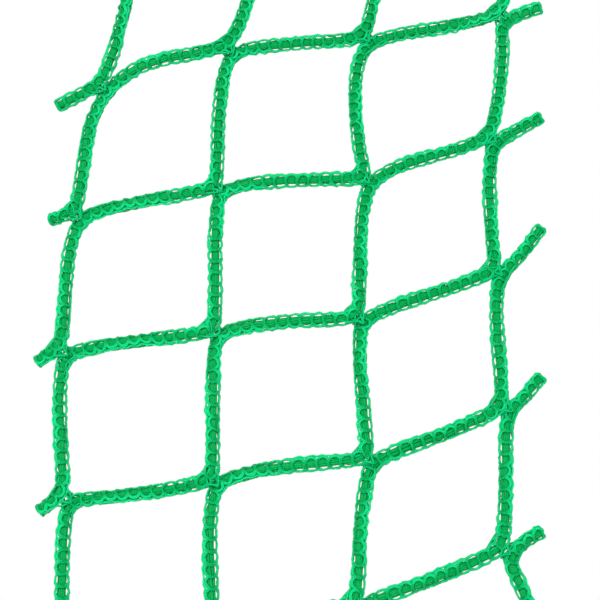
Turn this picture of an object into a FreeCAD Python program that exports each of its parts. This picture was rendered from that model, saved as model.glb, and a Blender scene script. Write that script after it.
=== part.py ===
"""Panel of knotless square-mesh netting, hanging by the legs of its top row.

The net is warp-knitted, so it has no knots. Nine knitted cords, the wales, run through it as
staircases: down one mesh leg, round a joint, left along the next leg, round the next joint.
At each joint two wales lie side by side and their stitches hold them together. Each wale is
a chain yarn, whose loops are the outside of the cord, round an inlay yarn that takes the pull.

Millimetres. X runs along the level legs, Z is up, and -Y is the front of the net. The origin
is where the middle hook bears, at the underside of the middle leg of the top row.
"""
import FreeCAD, Part
import math
import os

Vector = FreeCAD.Vector

# Cord
CORD_DIAMETER = 3.0
INLAY_DIAMETER = 1.4

# Joints as (x, z), row by row from the top and left to right, about one 30 mm mesh apart
JOINTS = [
    [(-43.0, -10.0), (-15.5, -1.5), (14.5, 3.5), (44.5, 8.5)],
    [(-47.5, -38.5), (-17.5, -34.0), (14.0, -30.5), (41.5, -20.5)],
    [(-49.5, -68.0), (-17.5, -65.0), (12.0, -62.0), (41.5, -50.5)],
    [(-47.5, -98.5), (-17.5, -95.5), (13.5, -91.5), (42.0, -80.0)],
    [(-47.0, -128.0), (-17.0, -124.0), (11.0, -120.0), (40.5, -109.0)],
]
ROWS = len(JOINTS)
COLUMNS = len(JOINTS[0])

# Cut ends of the wales as (x, z), outside the outer joints
TOP_ENDS = [(-37.0, 18.5), (-9.5, 20.0), (18.5, 21.5), (47.5, 22.0)]
BOTTOM_ENDS = [(-47.5, -136.5), (-17.0, -136.5), (11.0, -136.5), (47.0, -125.0)]
LEFT_ENDS = [(-53.0, -13.5), (-53.5, -39.0), (-55.0, -70.0), (-53.0, -101.0), (-52.5, -130.5)]
RIGHT_ENDS = [(53.5, 10.0), (52.5, -15.5), (51.5, -40.5), (50.0, -73.0), (48.5, -105.0)]

# How far each leg bows from the straight line: level legs up, upright legs to the left.
# Row by row from the top. The first and last value of a level row are its end legs, and the
# first and last row of the upright legs are the end legs above and below the net.
LEVEL_BOWS = [
    [0.5, 2.1, 0.4, 0.3, -0.3],
    [0.4, 0.3, 0.8, 1.1, -0.3],
    [0.4, 0.4, 0.7, 0.3, -1.0],
    [0.4, -0.6, 0.9, -0.4, -0.8],
    [0.4, 0.4, 0.5, -0.3, -0.6],
]
UPRIGHT_BOWS = [
    [-0.6, -0.4, 0.4, -0.3],
    [1.1, 1.1, 2.4, -1.1],
    [1.1, 0.3, 0.4, 0.8],
    [1.0, 0.4, 0.3, 0.6],
    [0.4, 0.8, 0.4, -0.3],
    [0.3, -0.4, -0.4, -0.2],
]
# Share of the bow at the three points along a leg, from its left or its upper joint
BOW_SHARES = (0.9, 1.0, 0.6)
# Distance from a joint to the nearest route point of each leg
NEAR_JOINT = 7.0
# Length of one run along an end leg, at most
END_RUN = 9.5

# At a joint each wale passes this far beside the joint's centre
JOINT_SPREAD = 1.4
# and its corner stands this far in front of the net or behind it
JOINT_DEPTH = 0.8

# The hanging net waves gently through its depth, and the waves lean with its height
WAVE_DEPTH = 3.0
WAVE_LENGTH = 110.0
WAVE_LEAN = 0.35

# An arc takes this share of the shorter run beside it
ARC_SHARE = 0.45


def wave(x, z):
    """Depth of the net at a place in it."""
    return WAVE_DEPTH * math.sin(2 * math.pi * (x + WAVE_LEAN * z) / WAVE_LENGTH)


def place(x, z, depth=0.0):
    """Point of a route, on the waving net or a little in front of it or behind it."""
    return Vector(x, wave(x, z) + depth, z)


def bowed(start, end, fraction, shift, upright):
    """Point beside the line from start to end: above a level leg, left of an upright one."""
    dx = end[0] - start[0]
    dz = end[1] - start[1]
    length = math.hypot(dx, dz)
    side = -1 if upright else 1
    x = start[0] + fraction * dx - side * shift * dz / length
    z = start[1] + fraction * dz + side * shift * dx / length
    return place(x, z)


def leg(start, end, bow, upright):
    """Three points of a whole leg, from its left or upper joint to the next one."""
    near = NEAR_JOINT / math.dist(start, end)
    fractions = (near, 0.5, 1 - near)
    return [bowed(start, end, f, bow * s, upright) for f, s in zip(fractions, BOW_SHARES)]


def end_leg(joint, end, bow, upright, outward):
    """Points of an end leg, in order from the joint to the cut end."""
    runs = math.ceil(math.dist(joint, end) / END_RUN)
    points = []
    for i in range(1, runs):
        bend = bow * math.sin(math.pi * i / runs)
        if outward:
            points.append(bowed(joint, end, i / runs, bend, upright))
        else:
            points.append(bowed(end, joint, 1 - i / runs, bend, upright))
    return points + [place(*end)]


class Turn:
    """The arc that rounds a corner between two straight runs."""

    def __init__(self, before, corner, after):
        back = before - corner
        ahead = after - corner
        cut = ARC_SHARE * min(back.Length, ahead.Length)
        back.normalize()
        ahead.normalize()
        half_turn = (math.pi - back.getAngle(ahead)) / 2
        self.radius = cut / math.tan(half_turn)
        self.inside = self.radius / math.cos(half_turn) - self.radius
        self.inward = (back + ahead).normalize()
        self.start = corner + back * cut
        self.middle = corner + self.inward * self.inside
        self.end = corner + ahead * cut


def joint_corner(before, centre, after, depth):
    """Corner of a wale at a joint, set so that the cord's arc passes beside the centre."""
    turn = Turn(before, centre, after)
    return centre + turn.inward * (JOINT_SPREAD - turn.inside) + Vector(0, depth, 0)


def staircase(wale):
    """Route of a wale from its upper right end to its lower left end.

    Wale n turns from upright to level at the joints whose row and column add up to n, where it
    passes in front, and from level to upright at those where they add up to n - 1, where it
    passes behind.
    """
    stops = [
        (row, column)
        for row in range(ROWS)
        for column in range(COLUMNS)
        if row + column in (wale, wale - 1)
    ]
    stops.sort(key=lambda stop: stop[0] - stop[1])
    route = []
    corners = {}
    for row, column in stops:
        joint = JOINTS[row][column]
        in_front = row + column == wale
        if in_front:
            if row == 0:
                top = end_leg(joint, TOP_ENDS[column], UPRIGHT_BOWS[0][column], True, False)
                route += top[::-1]
            corners[len(route)] = -JOINT_DEPTH
            route.append(place(*joint))
            if column > 0:
                level = leg(JOINTS[row][column - 1], joint, LEVEL_BOWS[row][column], False)
                route += level[::-1]
            else:
                route += end_leg(joint, LEFT_ENDS[row], LEVEL_BOWS[row][0], False, False)
        else:
            if column == COLUMNS - 1:
                right = end_leg(joint, RIGHT_ENDS[row], LEVEL_BOWS[row][-1], False, True)
                route += right[::-1]
            corners[len(route)] = JOINT_DEPTH
            route.append(place(*joint))
            bow = UPRIGHT_BOWS[row + 1][column]
            if row < ROWS - 1:
                route += leg(joint, JOINTS[row + 1][column], bow, True)
            else:
                route += end_leg(joint, BOTTOM_ENDS[column], bow, True, True)
    for i, depth in corners.items():
        route[i] = joint_corner(route[i - 1], route[i], route[i + 1], depth)
    return route


def cord_path(route):
    """Wire of straight runs joined by tangent arcs, and the tightest radius in it."""
    edges = []
    tightest = math.inf
    start = route[0]
    for before, corner, after in zip(route, route[1:], route[2:]):
        turn = Turn(before, corner, after)
        tightest = min(tightest, turn.radius)
        edges.append(Part.LineSegment(start, turn.start).toShape())
        edges.append(Part.Arc(turn.start, turn.middle, turn.end).toShape())
        start = turn.end
    edges.append(Part.LineSegment(start, route[-1]).toShape())
    return Part.Wire(edges), tightest


def tube(wire, route, diameter):
    """Solid round cord along a wire."""
    heading = route[1] - route[0]
    section = Part.Wire(Part.makeCircle(diameter / 2, route[0], heading))
    return wire.makePipeShell([section], True, False)


def export(solid, node):
    solid.exportStep("parts/" + node + ".step")


def main():
    os.makedirs("parts", exist_ok=True)
    for wale in range(ROWS + COLUMNS):
        route = staircase(wale)
        wire, tightest = cord_path(route)
        inlay = tube(wire, route, INLAY_DIAMETER)
        cord = tube(wire, route, CORD_DIAMETER)
        chain = cord.cut(inlay)
        section = math.pi * CORD_DIAMETER ** 2 / 4
        print(
            f"wale_{wale + 1}: {len(route)} points, {wire.Length:.1f} mm long, "
            f"tightest radius {tightest:.1f} mm, "
            f"volume {cord.Volume / (section * wire.Length):.3f} of section times length"
        )
        export(chain, f"wale_{wale + 1}_chain")
        export(inlay, f"wale_{wale + 1}_inlay")


main()
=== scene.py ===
"""Panel of knotless square-mesh netting, hanging against white and seen from a little below.

Each of the nine wales is knitted here stitch by stitch round the route of its CAD cord: a chain
yarn of two filaments loops its way along the front, wing yarns bow out at both edges, lap yarns
cross the back, and a bundle of inlay filaments runs through the middle. At the joints further
yarns tie neighbouring wales together, and melted seals close the cut ends.
Routes and stitches are worked out in millimetres, and Blender gets metres.
"""
import math

import bpy
import numpy as np
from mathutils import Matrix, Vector


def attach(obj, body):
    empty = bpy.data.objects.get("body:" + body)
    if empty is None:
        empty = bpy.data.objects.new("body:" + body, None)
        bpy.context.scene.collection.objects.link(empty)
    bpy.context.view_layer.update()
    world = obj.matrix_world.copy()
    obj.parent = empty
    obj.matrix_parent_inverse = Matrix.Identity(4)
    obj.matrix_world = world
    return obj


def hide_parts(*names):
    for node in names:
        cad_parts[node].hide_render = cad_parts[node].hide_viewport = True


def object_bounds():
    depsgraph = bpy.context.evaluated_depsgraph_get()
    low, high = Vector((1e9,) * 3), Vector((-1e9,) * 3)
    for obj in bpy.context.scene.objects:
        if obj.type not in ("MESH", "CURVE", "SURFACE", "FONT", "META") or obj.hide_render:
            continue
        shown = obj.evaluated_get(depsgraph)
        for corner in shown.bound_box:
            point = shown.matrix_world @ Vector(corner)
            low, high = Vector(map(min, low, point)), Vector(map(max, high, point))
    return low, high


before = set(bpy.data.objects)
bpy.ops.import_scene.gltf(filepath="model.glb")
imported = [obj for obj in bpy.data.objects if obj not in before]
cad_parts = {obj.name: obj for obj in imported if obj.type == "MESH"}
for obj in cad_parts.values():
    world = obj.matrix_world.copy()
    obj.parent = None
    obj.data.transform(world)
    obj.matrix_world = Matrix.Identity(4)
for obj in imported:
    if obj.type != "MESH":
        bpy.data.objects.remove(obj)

cad_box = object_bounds()
MM = 0.001

# --- Routes, as in the CAD model ---------------------------------------------------------------

# A wale shorter than this, in metres, counts as too short for a cord
SHORTEST_CORD = 0.03

# Joints as (x, z), row by row from the top and left to right
JOINTS = [
    [(-43.0, -10.0), (-15.5, -1.5), (14.5, 3.5), (44.5, 8.5)],
    [(-47.5, -38.5), (-17.5, -34.0), (14.0, -30.5), (41.5, -20.5)],
    [(-49.5, -68.0), (-17.5, -65.0), (12.0, -62.0), (41.5, -50.5)],
    [(-47.5, -98.5), (-17.5, -95.5), (13.5, -91.5), (42.0, -80.0)],
    [(-47.0, -128.0), (-17.0, -124.0), (11.0, -120.0), (40.5, -109.0)],
]
ROWS = len(JOINTS)
COLUMNS = len(JOINTS[0])

# Cut ends of the wales as (x, z), outside the outer joints
TOP_ENDS = [(-37.0, 18.5), (-9.5, 20.0), (18.5, 21.5), (47.5, 22.0)]
BOTTOM_ENDS = [(-47.5, -136.5), (-17.0, -136.5), (11.0, -136.5), (47.0, -125.0)]
LEFT_ENDS = [(-53.0, -13.5), (-53.5, -39.0), (-55.0, -70.0), (-53.0, -101.0), (-52.5, -130.5)]
RIGHT_ENDS = [(53.5, 10.0), (52.5, -15.5), (51.5, -40.5), (50.0, -73.0), (48.5, -105.0)]

# How far each leg bows from the straight line: level legs up, upright legs to the left.
# Row by row from the top; the outer values are those of the end legs.
LEVEL_BOWS = [
    [0.5, 2.1, 0.4, 0.3, -0.3],
    [0.4, 0.3, 0.8, 1.1, -0.3],
    [0.4, 0.4, 0.7, 0.3, -1.0],
    [0.4, -0.6, 0.9, -0.4, -0.8],
    [0.4, 0.4, 0.5, -0.3, -0.6],
]
UPRIGHT_BOWS = [
    [-0.6, -0.4, 0.4, -0.3],
    [1.1, 1.1, 2.4, -1.1],
    [1.1, 0.3, 0.4, 0.8],
    [1.0, 0.4, 0.3, 0.6],
    [0.4, 0.8, 0.4, -0.3],
    [0.3, -0.4, -0.4, -0.2],
]
# Share of the bow at the three points along a leg, and how near the outer two are to a joint
BOW_SHARES = (0.9, 1.0, 0.6)
NEAR_JOINT = 7.0
# Length of one run along an end leg, at most
END_RUN = 9.5
# A wale passes a joint's centre this far beside it, and this far in front of it or behind it
JOINT_SPREAD = 1.4
JOINT_DEPTH = 0.8
# The net's gentle wave through its depth, which leans with the height
WAVE_DEPTH = 3.0
WAVE_LENGTH = 110.0
WAVE_LEAN = 0.35
# Points read from the spline for each run of the route
SPLINE_STEPS = 24


def place(x, z):
    """Point on the gently waving net."""
    depth = WAVE_DEPTH * math.sin(2 * math.pi * (x + WAVE_LEAN * z) / WAVE_LENGTH)
    return Vector((x, depth, z))


def bowed(start, end, fraction, shift, upright):
    """Point beside the line from start to end: above a level leg, left of an upright one."""
    dx = end[0] - start[0]
    dz = end[1] - start[1]
    length = math.hypot(dx, dz)
    side = -1 if upright else 1
    x = start[0] + fraction * dx - side * shift * dz / length
    z = start[1] + fraction * dz + side * shift * dx / length
    return place(x, z)


def leg(start, end, bow, upright):
    """Three points of a whole leg, from its left or upper joint to the next one."""
    near = NEAR_JOINT / math.dist(start, end)
    fractions = (near, 0.5, 1 - near)
    return [bowed(start, end, f, bow * s, upright) for f, s in zip(fractions, BOW_SHARES)]


def end_leg(joint, end, bow, upright, outward):
    """Points of an end leg, in order from the joint to the cut end."""
    runs = math.ceil(math.dist(joint, end) / END_RUN)
    points = []
    for i in range(1, runs):
        bend = bow * math.sin(math.pi * i / runs)
        if outward:
            points.append(bowed(joint, end, i / runs, bend, upright))
        else:
            points.append(bowed(end, joint, 1 - i / runs, bend, upright))
    return points + [place(*end)]


def joint_corner(before, centre, after, depth):
    """Corner of a wale at a joint, set so that the spline passes beside the joint's centre.

    An order 3 spline passes its corner a quarter of the way towards its neighbours' middle.
    """
    middle = (before + after) / 2 - centre
    inward = middle.normalized()
    return centre + inward * (4 * JOINT_SPREAD - middle.length) / 3 + Vector((0, depth, 0))


def staircase(wale):
    """Route of a wale from its upper right end to its lower left end, and its joints.

    The joints are (route index, row, column, whether the wale passes in front there).
    """
    stops = [
        (row, column)
        for row in range(ROWS)
        for column in range(COLUMNS)
        if row + column in (wale, wale - 1)
    ]
    stops.sort(key=lambda stop: stop[0] - stop[1])
    route = []
    joints = []
    for row, column in stops:
        joint = JOINTS[row][column]
        in_front = row + column == wale
        if in_front:
            if row == 0:
                top = end_leg(joint, TOP_ENDS[column], UPRIGHT_BOWS[0][column], True, False)
                route += top[::-1]
            joints.append((len(route), row, column, True))
            route.append(place(*joint))
            if column > 0:
                level = leg(JOINTS[row][column - 1], joint, LEVEL_BOWS[row][column], False)
                route += level[::-1]
            else:
                route += end_leg(joint, LEFT_ENDS[row], LEVEL_BOWS[row][0], False, False)
        else:
            if column == COLUMNS - 1:
                right = end_leg(joint, RIGHT_ENDS[row], LEVEL_BOWS[row][-1], False, True)
                route += right[::-1]
            joints.append((len(route), row, column, False))
            route.append(place(*joint))
            bow = UPRIGHT_BOWS[row + 1][column]
            if row < ROWS - 1:
                route += leg(joint, JOINTS[row + 1][column], bow, True)
            else:
                route += end_leg(joint, BOTTOM_ENDS[column], bow, True, True)
    for i, row, column, in_front in joints:
        depth = -JOINT_DEPTH if in_front else JOINT_DEPTH
        route[i] = joint_corner(route[i - 1], route[i], route[i + 1], depth)
    return route, joints


def spline_points(route):
    """Points read from the NURBS spline that has the route's points as its control points."""
    curve = bpy.data.curves.new("wale_line", "CURVE")
    curve.dimensions = "3D"
    curve.resolution_u = SPLINE_STEPS
    spline = curve.splines.new("NURBS")
    spline.points.add(len(route) - 1)
    for point, at in zip(spline.points, route):
        point.co = (*(at * MM), 1.0)
    spline.order_u = 3
    spline.use_endpoint_u = True
    line = bpy.data.objects.new("wale_line", curve)
    bpy.context.scene.collection.objects.link(line)
    bpy.context.view_layer.update()
    mesh = bpy.data.meshes.new_from_object(line)
    points = np.array([v.co[:] for v in mesh.vertices]) / MM
    bpy.data.objects.remove(line)
    bpy.data.curves.remove(curve)
    bpy.data.meshes.remove(mesh)
    return points


# --- Camera ------------------------------------------------------------------------------------

# The point that the camera looks at, its distance and its near clipping, in metres
TARGET = Vector((-0.00012, 0.0, -0.05738))
CAMERA_DISTANCE = 0.294
CLIP_START = 0.01
LOOK_UP = math.radians(16)
FIELD_OF_VIEW = math.radians(24.03)


def make_camera():
    """The camera, in front of the net and looking a little up at it."""
    data = bpy.data.cameras.new("camera")
    data.angle = FIELD_OF_VIEW
    data.clip_start = CLIP_START
    camera = bpy.data.objects.new("camera", data)
    looking = Vector((0, math.cos(LOOK_UP), math.sin(LOOK_UP)))
    camera.location = TARGET - looking * CAMERA_DISTANCE
    camera.rotation_euler = looking.to_track_quat("-Z", "Y").to_euler()
    bpy.context.scene.collection.objects.link(camera)
    bpy.context.scene.camera = camera


# --- Knitting ----------------------------------------------------------------------------------

STITCH = 2.43
FILAMENT = 0.43
FILAMENT_SIDES = 7
# A tangent is taken over this far to each side, and the inside of a bend over this far
TANGENT_REACH = 0.4
BEND_REACH = 3.0
FRONT = np.array([0.0, -1.0, 0.0])
# Slow waves in a cord's turning about its line, as (degrees, wavelength)
TWISTS = ((32, 47), (14, 23), (6, 7.3))
FIRST_SEED = 100
# A tube's first normal is square to this direction, along which no tube starts
OBLIQUE = (0.31, 0.87, 0.39)
# From the first of these distances to the second the yarn's colour is painted paler towards the
# cord's edge: painted light for the light that comes through the thinner cord there
PAINTED_LIGHT_FROM = 0.48
PAINTED_LIGHT_FULL = 1.24
# How near the edge a yarn counts that crosses the cord, which sets its painted light
MID_PAINTED_LIGHT = 0.45


class Wale:
    """A wale's smooth line, with places in it given as (along, across, forward)."""

    def __init__(self, number):
        self.route, self.joints = staircase(number)
        self.line = spline_points(self.route)
        steps = np.linalg.norm(np.diff(self.line, axis=0), axis=1)
        self.at = np.concatenate([[0], np.cumsum(steps)])
        self.length = self.at[-1]
        self.stitches = round(self.length / STITCH)
        self.pitch = self.length / self.stitches
        self.random = np.random.RandomState(FIRST_SEED + number)
        self.phases = self.random.uniform(0, 2 * math.pi, len(TWISTS))

    def centre(self, along):
        """Points of the line. Past an end they carry straight on."""
        inside = np.clip(along, 0, self.length)
        points = np.stack([np.interp(inside, self.at, self.line[:, k]) for k in range(3)], 1)
        start = self.line[1] - self.line[0]
        end = self.line[-1] - self.line[-2]
        before = np.minimum(along, 0)[:, None] * start / np.linalg.norm(start)
        after = np.maximum(along - self.length, 0)[:, None] * end / np.linalg.norm(end)
        return points + before + after

    def twist(self, along):
        """Slow turning of the cord about its line, which shows now one edge and now the other."""
        return sum(
            math.radians(degrees) * np.sin(2 * math.pi * along / wavelength + phase)
            for (degrees, wavelength), phase in zip(TWISTS, self.phases)
        )

    def nearest(self, point):
        """Place along the line that is nearest to a point."""
        return self.at[np.argmin(np.linalg.norm(self.line - np.array(point), axis=1))]

    def inside_of(self, along):
        """Direction towards the inside of the bend at a place along the line."""
        places = np.array([along - BEND_REACH, along, along + BEND_REACH])
        before, here, after = self.centre(places)
        inward = (before + after) / 2 - here
        return inward / np.linalg.norm(inward)

    def world(self, local):
        """Points given as (along, across, forward), in the row frame in millimetres."""
        along, across, forward = local.T
        centre = self.centre(along)
        tangent = self.centre(along + TANGENT_REACH) - self.centre(along - TANGENT_REACH)
        tangent /= np.linalg.norm(tangent, axis=1)[:, None]
        front = FRONT - tangent * (tangent @ FRONT)[:, None]
        front /= np.linalg.norm(front, axis=1)[:, None]
        side = np.cross(tangent, front)
        turn = self.twist(along)
        cos, sin = np.cos(turn)[:, None], np.sin(turn)[:, None]
        across, forward = across[:, None], forward[:, None]
        return (
            centre
            + side * (across * cos - forward * sin)
            + front * (across * sin + forward * cos)
        )


def smoothed(keys, steps):
    """Catmull-Rom curve through the keys, with this many steps from each to the next."""
    padded = np.vstack([2 * keys[0] - keys[1], keys, 2 * keys[-1] - keys[-2]])
    p0, p1, p2, p3 = padded[:-3], padded[1:-2], padded[2:-1], padded[3:]
    rows = []
    for i in range(steps):
        t = i / steps
        rows.append(
            0.5
            * (
                2 * p1
                + (p2 - p0) * t
                + (2 * p0 - 5 * p1 + 4 * p2 - p3) * t ** 2
                + (3 * p1 - p0 - 3 * p2 + p3) * t ** 3
            )
        )
    between = np.stack(rows, 1).reshape(-1, keys.shape[1])
    return np.vstack([between, keys[-1]])


def painted_light_of(local):
    """How near the cord's edge each point is, from 0 over the inlay to 1 at the edge, which sets
    its painted light.
    """
    return np.clip((np.abs(local[:, 1]) - PAINTED_LIGHT_FROM) / (PAINTED_LIGHT_FULL - PAINTED_LIGHT_FROM), 0, 1)


class Tubes:
    """Gathers round closed tubes into one mesh."""

    def __init__(self):
        self.vertices = []
        self.faces = []
        # Edge values per vertex, which set the painted light in the yarn's colour
        self.edges = []
        self.count = 0

    def add(self, points, edge=MID_PAINTED_LIGHT, diameter=FILAMENT, sides=FILAMENT_SIDES):
        """A tube along the points. Edge says how near the cord's edge each of them is, which sets
        their painted light.
        """
        tangents = np.gradient(points, axis=0)
        tangents /= np.linalg.norm(tangents, axis=1)[:, None]
        normals = np.empty_like(points)
        normal = np.cross(tangents[0], OBLIQUE)
        for i, tangent in enumerate(tangents):
            normal = normal - tangent * normal.dot(tangent)
            normal = normal / math.sqrt(normal.dot(normal))
            normals[i] = normal
        others = np.cross(tangents, normals)
        angles = 2 * math.pi * np.arange(sides) / sides
        cos, sin = np.cos(angles)[:, None], np.sin(angles)[:, None]
        ring = normals[:, None] * cos + others[:, None] * sin
        self.add_rings(points[:, None] + ring * diameter / 2, edge)

    def add_rings(self, rings, edge=MID_PAINTED_LIGHT):
        """A closed skin over rings of the same number of points."""
        count, sides = len(rings), len(rings[0])
        here = np.arange(sides)
        after = (here + 1) % sides
        low = self.count + sides * np.arange(count - 1)[:, None]
        high = low + sides
        quads = np.stack([low + here, low + after, high + after, high + here], 2)
        self.faces += quads.reshape(-1, 4).tolist()
        self.faces.append((self.count + here)[::-1].tolist())
        self.faces.append((self.count + (count - 1) * sides + here).tolist())
        self.vertices.append(np.reshape(rings, (-1, 3)))
        self.edges.append(np.repeat(np.broadcast_to(edge, count), sides))
        self.count += count * sides

    def piece(self, name, material):
        """The tubes as one object."""
        mesh = bpy.data.meshes.new(name)
        mesh.from_pydata(np.vstack(self.vertices) * MM, [], self.faces)
        mesh.polygons.foreach_set("use_smooth", [True] * len(mesh.polygons))
        # The edge value sets the painted light that makes the yarn's colour paler towards the
        # cord's edges
        edge = mesh.attributes.new("edge", "FLOAT", "POINT")
        edge.data.foreach_set("value", np.concatenate(self.edges))
        mesh.materials.append(material)
        mesh.update()
        piece = bpy.data.objects.new(name, mesh)
        bpy.context.scene.collection.objects.link(piece)
        return piece


# LOOSE, here and below, is how far the points of a yarn wander at random, in millimetres

# One stitch of the chain yarn as (along in stitches, across, forward): up through the last loop to
# the front, out to the right edge, round the loop's head and down its left, then along the back.
CHAIN_STITCH = [
    (-0.12, 0.80, 0.12),
    (0.02, 0.55, 0.99),
    (0.11, 0.87, 1.01),
    (0.26, 1.21, 0.59),
    (0.52, 1.31, 0.33),
    (0.76, 1.23, 0.42),
    (0.97, 0.95, 0.80),
    (1.09, 0.49, 1.13),
    (1.14, 0.00, 1.23),
    (1.09, -0.49, 1.13),
    (0.97, -0.95, 0.80),
    (0.76, -1.23, 0.42),
    (0.52, -1.31, 0.33),
    (0.26, -1.21, 0.59),
    (0.11, -0.87, 1.01),
    (0.02, -0.55, 0.99),
    (-0.12, -0.80, 0.12),
    (0.15, -0.57, -1.04),
    (0.50, 0.00, -1.27),
    (0.80, 0.57, -1.04),
]
# The chain yarn's two filaments lie this many filament diameters to each side of its path
CHAIN_SHIFTS = (-0.24, 0.24)
CHAIN_LOOSE = 0.045
# One stitch of each wing yarn, which makes the edge thicker and bows it out
WING_STITCH = [
    (0.05, 1.24, -0.14),
    (0.30, 1.38, -0.19),
    (0.52, 1.44, -0.24),
    (0.74, 1.38, -0.19),
]
WING_LOOSE = 0.06
# The wings bow out more in some stretches and less in others, by up to this much
WING_VARIATION = 0.12
WING_WAVELENGTH = 17
# At a cut end the wings stand out by this share, which would grow by one over this length
WING_END_SHARE = 0.75
WING_END_LENGTH = 10
# A lap yarn runs along the back beside the inlay, and crosses over behind each loop's head
LAP_STITCH = [
    (0.20, 0.63, -1.01),
    (0.48, 0.68, -0.94),
    (0.76, 0.63, -1.01),
    (0.98, 0.00, -1.37),
]
LAP_LOOSE = 0.05
# Loose yarn ends stay this far inside the cord's cut ends
END_MARGIN = 0.3


def repeated(wale, stitch, loose, side=1):
    """Keys of a yarn that repeats a stitch along the wale, each a little different."""
    pattern = np.array(stitch)
    keys = np.tile(pattern, (wale.stitches, 1))
    keys[:, 0] += np.repeat(np.arange(wale.stitches), len(pattern))
    keys[:, 0] *= wale.pitch
    keys[:, 1] *= side
    keys += wale.random.normal(0, loose, keys.shape)
    keys[:, 0] = np.clip(keys[:, 0], END_MARGIN, wale.length - END_MARGIN)
    return keys


def beside(local, shift):
    """A curve moved sideways by shift, flat on the cord's surface."""
    tangent = np.gradient(local, axis=0)
    outward = local * (0, 1, 1)
    sideways = np.cross(tangent, outward)
    sideways /= np.linalg.norm(sideways, axis=1)[:, None] + 1e-9
    return local + sideways * shift


def chain_yarn(wale, tubes):
    """The two filaments of the chain yarn, side by side."""
    for shift in CHAIN_SHIFTS:
        local = smoothed(repeated(wale, CHAIN_STITCH, CHAIN_LOOSE), steps=2)
        local = beside(local, shift * FILAMENT)
        # Painted light: the filaments are coloured paler towards the cord's edges
        tubes.add(wale.world(local), painted_light_of(local))


def wing_yarns(wale, tubes):
    """The yarns that bow out at both edges and leave slots beside the inlay."""
    for side in (-1, 1):
        phase = wale.random.uniform(0, 2 * math.pi)
        keys = repeated(wale, WING_STITCH, WING_LOOSE, side)
        swell = np.sin(2 * math.pi * keys[:, 0] / WING_WAVELENGTH + phase)
        keys[:, 1] += side * WING_VARIATION * swell
        from_end = np.minimum(keys[:, 0], wale.length - keys[:, 0])
        keys[:, 1] *= np.minimum(WING_END_SHARE + from_end / WING_END_LENGTH, 1)
        local = smoothed(keys, steps=3)
        # Painted light: the wing yarns are coloured paler towards the cord's edges
        tubes.add(wale.world(local), painted_light_of(local))


def lap_yarns(wale, tubes):
    """Two yarns that change sides across the back in every stitch."""
    for side in (-1, 1):
        keys = repeated(wale, LAP_STITCH, LAP_LOOSE, side)
        keys[:, 1] *= np.repeat((-1) ** np.arange(wale.stitches), len(LAP_STITCH))
        tubes.add(wale.world(smoothed(keys, steps=3)))


# Yarns that run straight on through a joint start this far before it and end this far past it
STRAIGHT_ON_FROM = 3.2
STRAIGHT_ON_PAST = 1.6
STRAIGHT_ON_OFFSETS = (-0.85, 0.85)
# They rise over the joint by an amount between these two, and sway sideways
STRAIGHT_ON_RISE = (0.35, 1.0)
STRAIGHT_ON_SWAY = 0.16
# Webs across the inside of a bend stand out by these amounts in the middle, and by the foot at
# their ends
WEB_BULGES = (1.2, 1.4, 1.6, 1.8)
WEB_FOOT = 0.85
WEB_KEYS = 7
# Where a wale passes behind, their middles stand out by this share of that
BEHIND_WEB_SHARE = 0.8
# Half a web is this long, times a share that grows with the bulge
WEB_REACH = 4.2
WEB_REACH_SHARE = 0.55
WEB_REACH_GROWTH = 0.25
# Spread of the webs' depths
WEB_DEPTH = 0.35
WEB_LOOSE = 0.06
# A joint's lap yarn zigzags across both wales
LAP_PASSES = 3
LAP_SPAN = 1.3
LAP_SPAN_LOOSE = 0.2
LAP_ADVANCE = 1.5
LAP_ADVANCE_LOOSE = 0.15
# Its turns stand this far in front of the joint, up to this much more, and its middles yet more
LAP_DEPTH = 0.6
LAP_DEPTH_VARIATION = 0.3
LAP_CROWN = 0.45
LAP_CROWN_LOOSE = 0.12


def straight_on_yarns(wale, tubes, at, centre, front):
    """Yarns that run on in line with each leg, over the joint and in under the other wale."""
    for way in (-1, 1):
        start = wale.centre(np.array([at + way * STRAIGHT_ON_FROM]))[0]
        heading = centre - start
        heading /= np.linalg.norm(heading)
        side = np.cross(heading, FRONT)
        for offset in STRAIGHT_ON_OFFSETS:
            rise = wale.random.uniform(*STRAIGHT_ON_RISE)
            sway = wale.random.normal(0, STRAIGHT_ON_SWAY, 3)
            # Each key is a point, and how far ahead, aside and in front of it the yarn passes
            keys = (
                (start, 0.0, offset * 0.7 + sway[0], 0.3),
                (start, 1.6, offset + sway[1], rise + 0.2),
                (centre, -1.1, offset + sway[2], rise + 0.3),
                (centre, 0.6, offset - sway[1], rise + 0.1),
                (centre, STRAIGHT_ON_PAST, offset * 0.8, 0.0),
            )
            points = [
                point + heading * ahead + side * aside + front * lift
                for point, ahead, aside, lift in keys
            ]
            tubes.add(smoothed(np.array(points), steps=4))


def web_yarns(wale, tubes, at, inside, share):
    """Yarns that cut across the inside of the bend."""
    for bulge in WEB_BULGES:
        steps = np.linspace(-1, 1, WEB_KEYS)
        along = at + steps * WEB_REACH * (WEB_REACH_SHARE + WEB_REACH_GROWTH * bulge)
        reach = WEB_FOOT + (bulge * share - WEB_FOOT) * np.cos(steps * math.pi / 2) ** 2
        points = wale.centre(along) + inside * reach[:, None]
        points += FRONT * wale.random.normal(0, WEB_DEPTH)
        points += wale.random.normal(0, WEB_LOOSE, points.shape)
        tubes.add(smoothed(points, steps=3))


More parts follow.
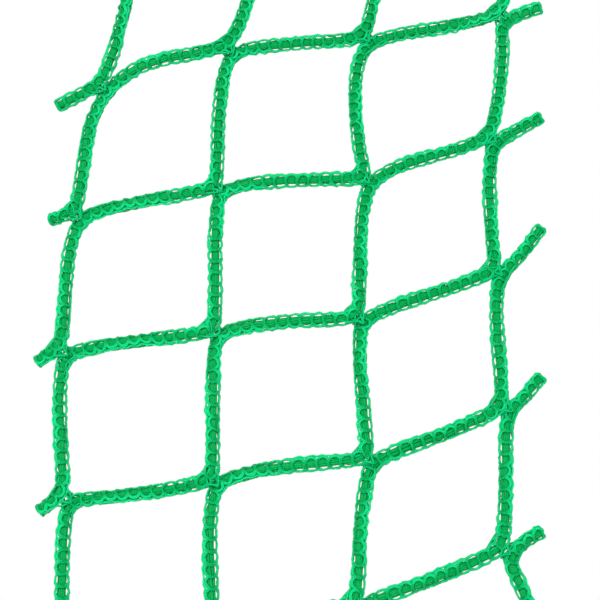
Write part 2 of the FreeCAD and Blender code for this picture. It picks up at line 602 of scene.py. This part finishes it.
def joint_laps(wale, tubes, centre, inside, front):
    """A yarn that zigzags across both wales and ties them together."""
    along = np.cross(inside, FRONT)
    along /= np.linalg.norm(along)
    points = []
    for i in range(LAP_PASSES):
        across = LAP_SPAN * (-1) ** i + wale.random.normal(0, LAP_SPAN_LOOSE)
        from_middle = i - LAP_PASSES // 2
        advance = LAP_ADVANCE * from_middle + wale.random.normal(0, LAP_ADVANCE_LOOSE)
        depth = LAP_DEPTH + wale.random.uniform(0, LAP_DEPTH_VARIATION)
        points.append(centre + inside * across + along * advance + front * depth)
        middle = centre + along * (advance + LAP_ADVANCE / 2) + front * (depth + LAP_CROWN)
        points.append(middle + wale.random.normal(0, LAP_CROWN_LOOSE, 3))
    tubes.add(smoothed(np.array(points[:-1]), steps=4))


def joint_yarns(wale, tubes):
    """All that holds a wale to its neighbours at its joints."""
    for index, row, column, in_front in wale.joints:
        centre = np.array(place(*JOINTS[row][column]))
        at = wale.nearest(wale.route[index])
        inside = wale.inside_of(at)
        front = FRONT * (1 if in_front else -1)
        straight_on_yarns(wale, tubes, at, centre, front)
        web_yarns(wale, tubes, at, inside, 1 if in_front else BEHIND_WEB_SHARE)
        joint_laps(wale, tubes, centre, inside, front)


# The rings of a seal as (distance from the cut end, radius)
SEAL_RINGS = [
    (0.02, 0.35),
    (0.04, 0.70),
    (0.09, 1.03),
    (0.18, 1.28),
    (0.32, 1.42),
    (0.46, 1.44),
    (0.60, 1.34),
    (0.70, 1.08),
]
SEAL_SIDES = 28
# Lumps round a seal as (height as a share of the radius, number), and its unevenness lengthways
SEAL_LUMPS = ((0.05, 3), (0.04, 5))
SEAL_UNEVEN = 0.04
SEAL_UNEVEN_WAVES = 2


def sealed_ends(wale, tubes):
    """The hot-cut ends, where the yarns have melted into a thin rough plug."""
    for end, way in ((0.0, 1), (wale.length, -1)):
        *phases, last = wale.random.uniform(0, 2 * math.pi, len(SEAL_LUMPS) + 1)
        rings = []
        angles = 2 * math.pi * np.arange(SEAL_SIDES) / SEAL_SIDES
        lumps = (
            height * np.sin(number * angles + phase)
            for (height, number), phase in zip(SEAL_LUMPS, phases)
        )
        lumpy = sum(lumps, 1)
        uneven = SEAL_UNEVEN * np.sin(SEAL_UNEVEN_WAVES * angles + last)
        for depth, radius in SEAL_RINGS:
            around = radius * lumpy
            along = np.full(SEAL_SIDES, end + way * depth) + uneven
            ring = np.stack([along, around * np.cos(angles) * -way, around * np.sin(angles)], 1)
            rings.append(wale.world(ring))
        tubes.add_rings(rings)


# Diameter of the inlay's middle filament, number and diameter of those round it, radius of their
# ring, and the spread of their places on it in radians
CORE_MIDDLE = 0.9
CORE_MIDDLE_SIDES = 9
CORE_AROUND = 12
CORE_FILAMENT = 0.46
CORE_RING = 0.62
CORE_UNEVEN = 0.1
CORE_KEYS_PER_STITCH = 4
# The inlay sways a little each way, and twists by a radian over this length
CORE_SWAY = 0.05
CORE_SWAY_LENGTHS = (1.9, 2.3)
CORE_TWIST_LENGTH = 11


def core_bundle(wale, tubes):
    """The inlay: one thick filament in the middle and thinner ones round it, slowly twisted."""
    keys = wale.stitches * CORE_KEYS_PER_STITCH
    along = np.linspace(END_MARGIN, wale.length - END_MARGIN, keys)
    wander = wale.random.uniform(0, 2 * math.pi, 2)
    sway = [
        CORE_SWAY * np.sin(along / length + phase)
        for length, phase in zip(CORE_SWAY_LENGTHS, wander)
    ]
    middle = wale.world(np.stack([along, *sway], 1))
    tubes.add(middle, diameter=CORE_MIDDLE, sides=CORE_MIDDLE_SIDES)
    for i in range(CORE_AROUND):
        angle = 2 * math.pi * i / CORE_AROUND + along / CORE_TWIST_LENGTH
        angle = angle + wale.random.normal(0, CORE_UNEVEN)
        across = CORE_RING * np.cos(angle) + sway[0]
        forward = CORE_RING * np.sin(angle) + sway[1]
        strand = wale.world(np.stack([along, across, forward], 1))
        tubes.add(strand, diameter=CORE_FILAMENT)


# --- Materials ---------------------------------------------------------------------------------

# Share of the colour that is painted light, paler the nearer the cord's edge the yarn is; the rest
# is mottling
PAINTED_LIGHT_SHARE = 0.75
# Noise as (scale, detail), and the range that most of its values lie in
MOTTLING = (900, 3)
WEAR = (400, 2)
GRAIN = (5000, 2)
NOISE_LOW = 0.3
NOISE_HIGH = 0.7
# The roughness goes down and up from a yarn's own by this much
POLISHED = 0.06
WORN = 0.10
GRAIN_STRENGTH = 0.3
GRAIN_HEIGHT = 0.00003
# The same all over every yarn
YARN_FINISH = {
    "Specular IOR Level": 0.2,
    "Specular Tint": (0.25, 1.0, 0.6, 1),
    "Transmission Weight": 0.4,
    "IOR": 1.3,
}


def noise_texture(tree, coordinates, scale, detail):
    """A noise value over the object."""
    noise = tree.nodes.new("ShaderNodeTexNoise")
    noise.inputs["Scale"].default_value = scale
    noise.inputs["Detail"].default_value = detail
    tree.links.new(coordinates.outputs["Object"], noise.inputs["Vector"])
    return noise.outputs["Fac"]


def rescaled(tree, value, low, high):
    """A noise value spread over a range."""
    spread = tree.nodes.new("ShaderNodeMapRange")
    spread.inputs["From Min"].default_value = NOISE_LOW
    spread.inputs["From Max"].default_value = NOISE_HIGH
    spread.inputs["To Min"].default_value = low
    spread.inputs["To Max"].default_value = high
    tree.links.new(value, spread.inputs["Value"])
    return spread.outputs["Result"]


def yarn_material(name, dark, light, roughness):
    """Glossy, slightly clear plastic filament, with painted light that makes it paler towards the
    cord's thin edges.
    """
    material = bpy.data.materials.new(name)
    material.use_nodes = True
    tree = material.node_tree
    shader = tree.nodes["Principled BSDF"]
    coordinates = tree.nodes.new("ShaderNodeTexCoord")
    mottling = noise_texture(tree, coordinates, *MOTTLING)
    # The mesh's edge value paints light into the colour, paler towards the cord's edges
    edge = tree.nodes.new("ShaderNodeAttribute")
    edge.attribute_name = "edge"
    shade = tree.nodes.new("ShaderNodeMath")
    shade.operation = "MULTIPLY_ADD"
    shade.inputs[1].default_value = PAINTED_LIGHT_SHARE
    tree.links.new(edge.outputs["Fac"], shade.inputs[0])
    tree.links.new(rescaled(tree, mottling, 0, 1 - PAINTED_LIGHT_SHARE), shade.inputs[2])
    ramp = tree.nodes.new("ShaderNodeValToRGB")
    ramp.color_ramp.elements[0].color = (*dark, 1)
    ramp.color_ramp.elements[1].color = (*light, 1)
    tree.links.new(shade.outputs[0], ramp.inputs["Fac"])
    tree.links.new(ramp.outputs["Color"], shader.inputs["Base Color"])
    wear = noise_texture(tree, coordinates, *WEAR)
    rough = rescaled(tree, wear, roughness - POLISHED, roughness + WORN)
    tree.links.new(rough, shader.inputs["Roughness"])
    bump = tree.nodes.new("ShaderNodeBump")
    bump.inputs["Strength"].default_value = GRAIN_STRENGTH
    bump.inputs["Distance"].default_value = GRAIN_HEIGHT
    grain = noise_texture(tree, coordinates, *GRAIN)
    tree.links.new(grain, bump.inputs["Height"])
    tree.links.new(bump.outputs["Normal"], shader.inputs["Normal"])
    for socket, value in YARN_FINISH.items():
        shader.inputs[socket].default_value = value
    return material


# --- Stage and light ---------------------------------------------------------------------------

# Half the floor's side, how far it is below the net, and the light's place and size, in metres
FLOOR_HALF = 6.0
FLOOR_BELOW = 0.12
FLOOR_COLOUR = (0.92, 0.92, 0.92, 1)
FLOOR_ROUGHNESS = 0.7
WHITE = (1, 1, 1, 1)
KEY_LIGHT_AT = (-0.06, -0.45, -0.02)
KEY_LIGHT_SIZE = 0.2
KEY_LIGHT_POWER = 1.8


def make_stage():
    """A plain pale floor below the net."""
    mesh = bpy.data.meshes.new("floor")
    level = cad_box[0][2] - FLOOR_BELOW
    signs = ((-1, -1), (1, -1), (1, 1), (-1, 1))
    corners = [(x * FLOOR_HALF, y * FLOOR_HALF, level) for x, y in signs]
    mesh.from_pydata(corners, [], [(0, 1, 2, 3)])
    material = bpy.data.materials.new("floor")
    material.use_nodes = True
    shader = material.node_tree.nodes["Principled BSDF"]
    shader.inputs["Base Color"].default_value = FLOOR_COLOUR
    shader.inputs["Roughness"].default_value = FLOOR_ROUGHNESS
    mesh.materials.append(material)
    floor = bpy.data.objects.new("floor", mesh)
    bpy.context.scene.collection.objects.link(floor)


def make_light():
    """Even white light from all round, and a soft key light from the front."""
    world = bpy.data.worlds.new("white")
    world.use_nodes = True
    background = world.node_tree.nodes["Background"]
    background.inputs["Color"].default_value = WHITE
    background.inputs["Strength"].default_value = 1.0
    bpy.context.scene.world = world
    bpy.context.scene.view_settings.view_transform = "Standard"
    data = bpy.data.lights.new("key_light", "AREA")
    data.size = KEY_LIGHT_SIZE
    data.energy = KEY_LIGHT_POWER
    light = bpy.data.objects.new("key_light", data)
    light.location = KEY_LIGHT_AT
    towards = TARGET - Vector(KEY_LIGHT_AT)
    light.rotation_euler = towards.to_track_quat("-Z", "Y").to_euler()
    bpy.context.scene.collection.objects.link(light)


# --- The net -----------------------------------------------------------------------------------

# A yarn's darkest and palest colours, and its roughness. The chain yarn's palest colour is painted
# light, reached towards the cord's edges
CHAIN_LOOKS_WITH_PAINTED_LIGHT = ((0.0, 0.37, 0.09), (0.005, 0.72, 0.26), 0.22)
# The inlay's darker greens are painted shade, for the shaded cells between the chain loops
INLAY_LOOKS_WITH_PAINTED_SHADE = ((0.0, 0.36, 0.07), (0.0, 0.50, 0.11), 0.3)

make_camera()
make_light()
make_stage()
chain_material = yarn_material("chain_yarn", *CHAIN_LOOKS_WITH_PAINTED_LIGHT)
inlay_material = yarn_material("inlay_yarn", *INLAY_LOOKS_WITH_PAINTED_SHADE)

for number in range(ROWS + COLUMNS):
    wale = Wale(number)
    loops_tubes = Tubes()
    chain_yarn(wale, loops_tubes)
    wing_yarns(wale, loops_tubes)
    lap_yarns(wale, loops_tubes)
    joint_yarns(wale, loops_tubes)
    sealed_ends(wale, loops_tubes)
    loops = loops_tubes.piece(f"wale_{number + 1}_loops", chain_material)
    core_tubes = Tubes()
    core_bundle(wale, core_tubes)
    core = core_tubes.piece(f"wale_{number + 1}_core", inlay_material)
    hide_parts(f"wale_{number + 1}_chain")
    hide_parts(f"wale_{number + 1}_inlay")
    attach(loops, "root")
    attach(core, "root")
    if wale.length * MM < SHORTEST_CORD:
        continue
